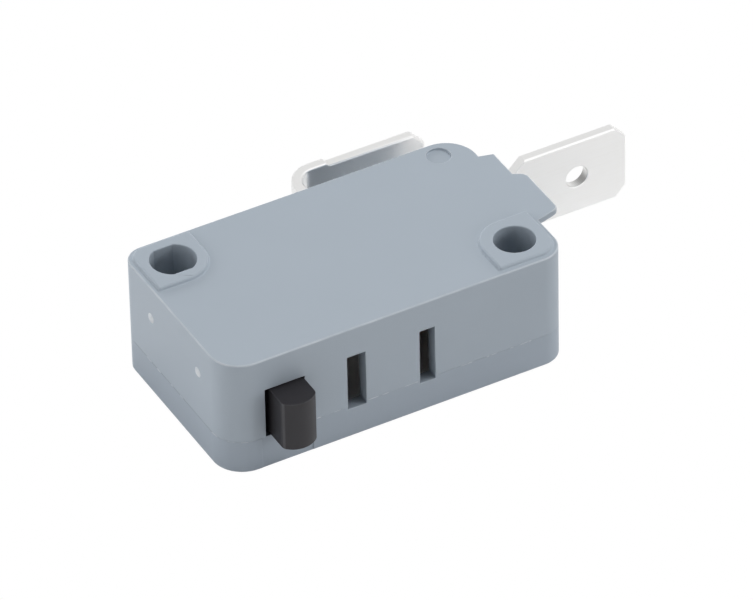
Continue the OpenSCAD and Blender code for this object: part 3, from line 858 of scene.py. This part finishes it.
    def _recess_of(self, face: bpy.types.MeshPolygon) -> Recess:
        """Tells which recess a face belongs to.

        Args:
            face: A face of a shell.

        Returns:
            The kind of recess.
        """
        middle, normal = face.center, face.normal
        wall = abs(normal.y) < ACROSS and 0 < middle.y - self.front < self.opening_wall
        if wall and self.depth(middle + Vector((0, self.skin, 0))) > self.skin:
            if not self.throat[0] < middle.x < self.throat[1]:
                return Recess.WINDOW
            if middle.z >= self.parting - self.cut_rim:
                return Recess.THROAT
        seam = abs(middle.z - self.parting) < 2 * self.parting_rim and middle.x < self.left + self.skin
        if seam and self.seam_stretch[0] < middle.y < self.seam_stretch[1]:
            return Recess.SEAM
        if self._at_hole(middle):
            return Recess.HOLE if abs(normal.z) < ACROSS else Recess.NONE
        if middle.x > self.end + HAIR and normal.y < -ACROSS:
            return Recess.SHELF
        # The room inside is painted paler, as painted light
        return Recess.ROOM if self.depth(middle + normal * self.skin) > self.skin else Recess.NONE

    def _recess_mark(self, recess: Recess, point: Vector) -> float:
        """Gives the mask's value at a point of a recess, which paints its shade.

        Args:
            recess: The kind of recess.
            point: The point.

        Returns:
            The value, a painted shade that grows with the depth in a window or a hole.
        """
        if recess is Recess.WINDOW:
            return min(1.0, max(0.0, (point.y - self.front) / self.opening_wall))
        if recess is Recess.HOLE:
            into = min(self.face_high - point.z, point.z - self.face_low)
            return min(1.0, max(0.0, into / self.dark_hole))
        even = {Recess.THROAT: self.throat_shade, Recess.SEAM: self.seam_shade,
                Recess.SHELF: self.shelf_shade, Recess.ROOM: self.room_painted_light}
        return even.get(recess, 0.0)

    def outline(self) -> list[Vector]:
        """Gives the body's outline at the parting line, from the case's own points.

        Returns:
            The corners in order.
        """
        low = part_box("case")[0].z
        ring = [v.co.to_2d() for v in bpy.data.objects["case"].data.vertices if v.co.z < low + HAIR]
        return [ring[i].to_3d() + Vector((0, 0, low)) for i in convex_hull_2d(ring)]

    def _flash_tree(self) -> GeometryTree:
        """Wires a scatter of slivers along a path that leaves out what is near a box.

        Returns:
            The tree, with two corners of a box for each of the gaps.
        """
        kinds = {"Count": "Int", "Share": "Float", "Size": "Vector", "Least": "Vector", "Most": "Vector",
                 "Seed": "Int", "Margin": "Float"}
        kinds |= {f"{node} {end}": "Vector" for node in self.flash_gaps for end in ("low", "high")}
        tree = GeometryTree("parting flash", kinds)
        given = tree.given
        path = tree.add("GeometryNodeMeshToCurve", {"Mesh": given["Geometry"]})
        dots = tree.add("GeometryNodeCurveToPoints", {"Curve": path.outputs[0], "Count": given["Count"]})
        pick = tree.add("FunctionNodeRandomValue", {"Probability": given["Share"], "Seed": given["Seed"]},
                        data_type="BOOLEAN")
        chosen, place = pick.outputs[3], tree.add("GeometryNodeInputPosition").outputs[0]
        for node in self.flash_gaps:
            above = tree.add("ShaderNodeVectorMath", {0: place, 1: given[f"{node} low"]}, operation="MAXIMUM")
            near = tree.add("ShaderNodeVectorMath", {0: above.outputs[0], 1: given[f"{node} high"]},
                            operation="MINIMUM")
            away = tree.add("ShaderNodeVectorMath", {0: place, 1: near.outputs[0]}, operation="DISTANCE")
            clear = tree.add("FunctionNodeCompare", {0: away.outputs["Value"], 1: given["Margin"]},
                             operation="GREATER_THAN")
            chosen = tree.add("FunctionNodeBooleanMath", {0: chosen, 1: clear.outputs[0]}).outputs[0]
        vary = tree.add("FunctionNodeRandomValue", {"Min": given["Least"], "Max": given["Most"],
                                                    "Seed": given["Seed"]}, data_type="FLOAT_VECTOR")
        sizes = tree.add("ShaderNodeVectorMath", {0: vary.outputs[0], 1: given["Size"]}, operation="MULTIPLY")
        sliver = tree.add("GeometryNodeMeshIcoSphere", {"Radius": 1.0, "Subdivisions": 2})
        placed = tree.add("GeometryNodeInstanceOnPoints", {
            "Points": dots.outputs["Points"], "Selection": chosen, "Instance": sliver.outputs["Mesh"],
            "Rotation": dots.outputs["Rotation"], "Scale": sizes.outputs[0]})
        tree.close(placed.outputs[0])
        return tree

    def _flash(self, shop: Workshop) -> None:
        """Scatters slivers of flash along the parting line.

        Args:
            shop: The workshop.
        """
        gaps = {f"{node} {end}": corner for node in self.flash_gaps
                for end, corner in zip(("low", "high"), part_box(node))}
        piece = self._flash_tree().run("parting_flash", self.hull, True, {
            "Count": self.flash_count, "Share": self.flash_share, "Size": self.flash_size,
            "Least": self.flash_least, "Most": self.flash_most, "Seed": self.flash_seed,
            "Margin": self.flash_margin, **gaps, "Material": shop.materials[Slot.CASE]})
        # The slivers get a painted highlight through the rim mask
        mask = piece.data.attributes.new(RIM, "FLOAT", "FACE")
        mask.data.foreach_set("value", [self.flash_lift] * len(piece.data.polygons))
        shop.hand_over(piece, Body.HOUSING, Slot.CASE)


@dataclass
class Button:
    """The black push plunger."""

    nose_corner: float = 0.2 * MM
    nose_edge: float = 0.035 * MM
    inner_edge: float = 0.06 * MM

    # The painted shade at the root: the length over which it grows, its lead over the wall in such lengths,
    # and its most
    dark_root: float = 1.4 * MM
    root_lead: float = 1.2
    root_shade: float = 0.7

    # The nose's painted light: how far its faces turn to the front, and their marks, which pale them, its
    # rounded edges apart with a stronger painted highlight
    nose_facing: float = 0.3
    nose_painted_light: float = -0.05
    nose_rim_painted_highlight: float = -0.1

    def __post_init__(self) -> None:
        """Reads where the body's front is from the frame."""
        self.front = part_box("cover")[0].y

    def edge_width(self, edge: bmesh.types.BMEdge) -> float:
        """Gives the width to round one edge by.

        Args:
            edge: The edge.

        Returns:
            The width.
        """
        start, stop = (vert.co for vert in edge.verts)
        if min(start.y, stop.y) > self.front:
            return self.inner_edge
        return self.nose_edge

    def _at_nose_corner(self, start: Vector, stop: Vector) -> bool:
        """Tells whether an edge is one of the nose's upright corners."""
        return abs(start.z - stop.z) > HAIR and max(start.y, stop.y) < self.front

    def build(self, shop: Workshop) -> None:
        """Makes the plunger with its edges broken, and with painted shade where it enters the case.

        Args:
            shop: The workshop.
        """
        solid = shop.solid("plunger")
        shop.turn_corners(solid, self._at_nose_corner, self.nose_corner)
        piece = shop.rounded("plunger_button", solid, self.edge_width)
        self._mark_painted_light(piece.data)
        shop.hand_over(piece, Body.BUTTON, Slot.PLUNGER, "plunger")

    def _mark_painted_light(self, mesh: bpy.types.Mesh) -> None:
        """Sets the recess mask: painted light that makes the nose paler, and painted shade that darkens it
        towards the body.

        Args:
            mesh: The plunger's mesh.
        """
        marks = mesh.attributes.new(RECESS, "FLOAT", "CORNER").data
        rims = mesh.attributes[RIM].data
        for face in mesh.polygons:
            nose = face.normal.y < -self.nose_facing and abs(face.normal.z) < ACROSS
            # Painted light: the nose, and more so its rounded edges, paler as if lit from the front
            wear_and_painted_light = self.nose_rim_painted_highlight if rims[face.index].value else self.nose_painted_light
            for corner in face.loop_indices:
                behind = mesh.vertices[mesh.loops[corner].vertex_index].co.y - self.front
                # Painted shade, darker towards the body
                root = min(self.root_shade, max(0.0, behind / self.dark_root + self.root_lead))
                marks[corner].value = wear_and_painted_light if nose else root


@dataclass
class Terminal:
    """A push-on terminal, and the contact that may be riveted to it."""

    node: str
    rivet: str = ""

    # Widths to round edges by, outside the body, inside it and on the contact
    square_edge: float = 0.025 * MM
    slanted_edge: float = 0.025 * MM
    hole_edge: float = 0.1 * MM
    inner_edge: float = 0.015 * MM
    contact_edge: float = 0.04 * MM

    # The tab, whose shoulder keeps its short edges, and the painted shade in its hole
    tab_length: float = 7.95 * MM
    root_reach: float = 0.2 * MM
    hole_from_tip: float = 4.15 * MM
    hole_radius: float = 0.9 * MM
    hole_shade: float = 0.9

    def __post_init__(self) -> None:
        """Reads where the body ends and where the tab's shoulder and hole are from the frame."""
        body_low, body_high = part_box("case")
        self.back, self.end = body_high.y, -body_low.y
        low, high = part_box(self.node)
        self.root = high.x - self.tab_length
        self.hole = Vector((high.x - self.hole_from_tip, 0, (low.z + high.z) / 2))

    def build(self, shop: Workshop) -> None:
        """Makes the terminal and its contact.

        Args:
            shop: The workshop.
        """
        sheet = shop.rounded(f"{self.node}_sheet", shop.solid(self.node), self.edge_width)
        self._mark_hole(sheet.data)
        shop.hand_over(sheet, Body.HOUSING, Slot.TERMINAL, self.node)
        if self.rivet:
            rivet = shop.rounded("fixed_contact", shop.solid(self.rivet), lambda edge: self.contact_edge)
            shop.hand_over(rivet, Body.HOUSING, Slot.CONTACT, self.rivet)

    def edge_width(self, edge: bmesh.types.BMEdge) -> float:
        """Gives the width to round one edge by, less inside the body.

        Args:
            edge: The edge.

        Returns:
            The width, nothing for a short edge at the tab's shoulder.
        """
        start, stop = (vert.co for vert in edge.verts)
        if min(start.y, stop.y) < self.back and min(start.x, stop.x) < self.end:
            return self.inner_edge
        if self._in_hole((start + stop) / 2):
            return self.hole_edge
        from_root = max(abs(start.x - self.root), abs(stop.x - self.root))
        if max(from_root, edge.calc_length()) < self.root_reach:
            return 0.0
        return self.square_edge if edge.calc_face_angle() > SQUARE_ANGLE else self.slanted_edge

    def _in_hole(self, point: Vector) -> bool:
        """Tells whether a point is on the wall of the tab's hole."""
        away = point - self.hole
        return math.hypot(away.x, away.z) < self.hole_radius + HAIR

    def _mark_hole(self, mesh: bpy.types.Mesh) -> None:
        """Paints shade on the side of the hole's wall that faces up and away from the tip.

        Args:
            mesh: The terminal's mesh.
        """
        marks = mesh.attributes.new(RECESS, "FLOAT", "FACE").data
        shaded = Vector((-1, 0, 1)).normalized()
        for face in mesh.polygons:
            if abs(face.normal.y) < ACROSS and self._in_hole(face.center):
                marks[face.index].value = self.hole_shade * max(0.0, face.normal.dot(shaded))


@dataclass
class SnapMechanism:
    """The rocking arm with its contact, the trip lever and the coil spring between them."""

    joints: dict[str, Vector]
    sheet_edge: float = 0.04 * MM

    # Where the spring's two ends are, from the lever's joint and from the contact
    lever_hook: float = 5.2 * MM
    lever_angle: float = math.radians(32)
    arm_hook: float = 4.7 * MM

    # The spring's coil, the room for a hook at each end, the stretch where the pitch eases in, and the hooks
    coil_radius: float = 0.54 * MM
    wire_radius: float = 0.11 * MM
    wire_sides: int = 12
    turns: int = 18
    steps_per_turn: int = 24
    lead: float = 0.9 * MM
    ease: float = 0.6 * MM
    hook_radius: float = 0.25 * MM
    hook_leg: float = 0.45 * MM
    hook_steps: int = 6

    def build(self, shop: Workshop) -> None:
        """Makes the moving pieces inside the body.

        Args:
            shop: The workshop.
        """
        for name, node, body, slot in (
            ("arm_sheet", "contact_arm", Body.ARM, Slot.ARM),
            ("moving_contact", "arm_contact", Body.ARM, Slot.CONTACT),
            ("lever_sheet", "trip_lever", Body.LEVER, Slot.LEVER),
        ):
            piece = shop.rounded(name, shop.solid(node), lambda edge: self.sheet_edge)
            shop.hand_over(piece, body, slot, node)
        self._spring(shop)

    def _wire_path(self, span: float) -> list[Vector]:
        """Gives the wire's middle line along +X: a hook, the turns and a second hook.

        Args:
            span: Distance between the two spring holes.

        Returns:
            The points, from one free end to the other.
        """
        run = span - 2 * self.lead
        pitch = (run - self.ease) / self.turns
        bend = [math.radians(90 * i / self.hook_steps) for i in range(self.hook_steps + 1)]
        hook = [Vector((0, self.hook_leg, 0))]
        hook += [Vector((self.hook_radius * (1 - math.cos(a)),
                         self.hook_radius * (1 - math.sin(a)) - self.coil_radius, 0)) for a in bend]
        steps = self.turns * self.steps_per_turn
        coil = []
        for i in range(steps + 1):
            along = run * i / steps
            near = min(along, run - along)
            done = near * near / (2 * self.ease) if near < self.ease else near - self.ease / 2
            turned = 2 * math.pi * (done / pitch if along < run / 2 else self.turns - done / pitch)
            coil.append(Vector((self.lead + along, -self.coil_radius * math.cos(turned),
                                self.coil_radius * math.sin(turned))))
        far = [Vector((span - p.x, p.y, 0)) for p in reversed(hook)]
        return hook + coil + far

    def _spring(self, shop: Workshop) -> None:
        """Sweeps the snap spring's wire from the lever's hole to the arm's.

        Args:
            shop: The workshop.
        """
        tilt = Vector((math.cos(self.lever_angle), math.sin(self.lever_angle), 0))
        start = self.joints["lever_rock"] - self.lever_hook * tilt
        contact_low, contact_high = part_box("arm_contact")
        stop = self.joints["arm_rock"].copy()
        stop.x = (contact_low.x + contact_high.x) / 2 - self.arm_hook
        along = stop - start
        turn = Matrix.Translation(start) @ Matrix.Rotation(math.atan2(along.y, along.x), 4, "Z")
        tree = GeometryTree("swept wire", {"Radius": "Float", "Sides": "Int"})
        path = tree.add("GeometryNodeMeshToCurve", {"Mesh": tree.given["Geometry"]})
        ring = tree.add("GeometryNodeCurvePrimitiveCircle", {
            "Radius": tree.given["Radius"], "Resolution": tree.given["Sides"]})
        wire = tree.add("GeometryNodeCurveToMesh", {
            "Curve": path.outputs[0], "Profile Curve": ring.outputs[0], "Fill Caps": True})
        tree.close(wire.outputs[0])
        points = [turn @ p for p in self._wire_path(along.length)]
        piece = tree.run("snap_spring_wire", points, False, {
            "Radius": self.wire_radius, "Sides": self.wire_sides, "Material": shop.materials[Slot.SPRING]})
        shop.hand_over(piece, Body.ARM, Slot.SPRING, "snap_spring")


@dataclass(frozen=True)
class SoftBox:
    """A large soft light, given by its bearing and height in degrees, its power in watts and its size."""

    name: str
    bearing: float
    height: float
    power: float
    size: tuple[float, float] = (0.45, 0.45)
    reach: float = 0.7

    def build(self, target: Vector) -> None:
        """Makes the light.

        Args:
            target: The point that it faces.
        """
        turn, rise = math.radians(self.bearing), math.radians(self.height)
        away = Vector((math.cos(turn) * math.cos(rise), math.sin(turn) * math.cos(rise), math.sin(rise)))
        light = bpy.data.lights.new(self.name, "AREA")
        light.shape = "RECTANGLE"
        light.size, light.size_y = self.size
        light.energy = self.power
        lamp = link_object(self.name, light)
        lamp.location = target + away * self.reach
        lamp.rotation_euler = away.to_track_quat("Z", "Y").to_euler()
        lamp.visible_camera = False
        lamp.visible_glossy = False


@dataclass
class Studio:
    """A white table under soft light, and the camera."""

    # The camera, as fitted to the photograph
    azimuth: float = math.radians(-28.2322)
    elevation: float = math.radians(38.4242)
    roll: float = math.radians(-1.2804)
    distance: float = 0.6002
    aim: Triple = (-9.1131 * MM, 4.1122 * MM, 5.562 * MM)
    lens: float = 399.497
    sensor: float = 36.0
    clip_ratio: float = 100.0

    # The table, a little paler in reflections, just under the switch
    floor_reach: float = 3.0
    floor_drop: float = 2 * HAIR
    floor_tone: float = 0.8
    floor_sheen: float = 0.08

    # The backdrop: its diffuse light, and what reflections show of it, with a glow from one side
    ambient: float = 0.07
    mirrored: float = 0.76
    glow: float = 0.35
    glow_from: Triple = (0.37, -0.62, 0.69)
    glow_falloff: float = 2.0

    # The lamps, the strips by bearing and power
    key: SoftBox = SoftBox("key box", 0, 65, 3.3)
    fill: SoftBox = SoftBox("left box", 180, 40, 1.07)
    strip_powers: tuple[tuple[float, float], ...] = (
        (45, 0.8), (90, 1.5), (135, 1.5), (180, 0.6), (270, 0.5), (315, 1.25))
    strip_height: float = 12.0
    strip_size: tuple[float, float] = (0.45, 0.26)

    def build(self) -> None:
        """Sets up everything that isn't the switch."""
        scene = bpy.context.scene
        scene.view_settings.view_transform = "Standard"
        self._camera(scene)
        self._world(scene)
        self._floor()
        strips = [SoftBox(f"strip {bearing}", bearing, self.strip_height, power, self.strip_size)
                  for bearing, power in self.strip_powers]
        for light in (self.key, self.fill, *strips):
            light.build(Vector(self.aim))

    def _camera(self, scene: bpy.types.Scene) -> None:
        """Places the camera at the photograph's angle.

        Args:
            scene: The scene that it takes.
        """
        lens = bpy.data.cameras.new("camera")
        lens.sensor_fit = "HORIZONTAL"
        lens.sensor_width = self.sensor
        lens.lens = self.lens
        lens.clip_start = self.distance / self.clip_ratio
        lens.clip_end = self.distance * self.clip_ratio
        camera = link_object("camera", lens)
        flat = math.cos(self.elevation)
        back = Vector((math.sin(self.azimuth) * flat, -math.cos(self.azimuth) * flat,
                       math.sin(self.elevation)))
        right = Vector((math.cos(self.azimuth), math.sin(self.azimuth), 0))
        turn = Matrix((right, back.cross(right), back)).transposed() @ Matrix.Rotation(self.roll, 3, "Z")
        camera.matrix_world = Matrix.Translation(Vector(self.aim) + back * self.distance) @ turn.to_4x4()
        scene.camera = camera

    def _world(self, scene: bpy.types.Scene) -> None:
        """Makes a white backdrop, which reflections show brighter at the front right.

        Args:
            scene: The scene that it surrounds.
        """
        world = bpy.data.worlds.new("white room")
        world.use_nodes = True
        graph = Graph(world.node_tree)
        ray = graph.add("ShaderNodeLightPath").outputs
        view = graph.add("ShaderNodeTexCoord").outputs["Generated"]
        facing = graph.add("ShaderNodeVectorMath", {0: view, 1: self.glow_from}, operation="DOT_PRODUCT")
        lobe = graph.maths("POWER", graph.maths("MAXIMUM", facing.outputs["Value"], 0.0), self.glow_falloff)
        shown = graph.maths("MULTIPLY_ADD", lobe, self.glow, self.mirrored)
        lit = graph.maths("MULTIPLY_ADD", ray["Is Diffuse Ray"], self.ambient, ray["Is Camera Ray"])
        strength = graph.maths("MULTIPLY_ADD", ray["Is Glossy Ray"], shown, lit)
        white = graph.add("ShaderNodeBackground", {"Color": (1, 1, 1, 1), "Strength": strength})
        graph.add("ShaderNodeOutputWorld", {"Surface": white.outputs[0]})
        world.cycles.sampling_method = "NONE"
        scene.world = world

    def _floor(self) -> None:
        """Lays the white table top."""
        half, level = self.floor_reach / 2, -self.floor_drop
        mesh = bpy.data.meshes.new("table_top")
        mesh.from_pydata([(-half, -half, level), (half, -half, level), (half, half, level),
                          (-half, half, level)], [], [(0, 1, 2, 3)])
        floor = link_object("table_top", mesh)
        material = bpy.data.materials.new("white table")
        material.use_nodes = True
        graph = Graph(material.node_tree)
        ray = graph.add("ShaderNodeLightPath").outputs
        tone = graph.maths("MULTIPLY_ADD", ray["Is Glossy Ray"], self.floor_sheen, self.floor_tone)
        paint = graph.add("ShaderNodeBsdfDiffuse", {"Color": tone})
        glow = graph.add("ShaderNodeEmission", {"Strength": 1.0})
        mixed = graph.add("ShaderNodeMixShader", {0: ray["Is Camera Ray"], 1: paint.outputs[0],
                                                  2: glow.outputs[0]})
        graph.add("ShaderNodeOutputMaterial", {"Surface": mixed.outputs[0]})
        mesh.materials.append(material)


def main() -> None:
    logging.basicConfig(level=logging.INFO, format="%(name)s: %(message)s")
    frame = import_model()
    joints = {j["name"]: Vector(j["pos_m"]) for j in frame["joints"] if "pos_m" in j}
    Studio().build()
    shop = Workshop(frame["nodes"])
    common = Terminal("common_terminal", square_edge=0.15 * MM, slanted_edge=0.06 * MM)
    end = Terminal("open_terminal", rivet="open_contact")
    for part in (Housing(), Button(), common, end, SnapMechanism(joints)):
        part.build(shop)
    for piece, body in shop.pieces:
        LOG.info("%s: %d faces on %s", piece.name, len(piece.data.polygons), body.value)


if __name__ == "__main__":
    main()
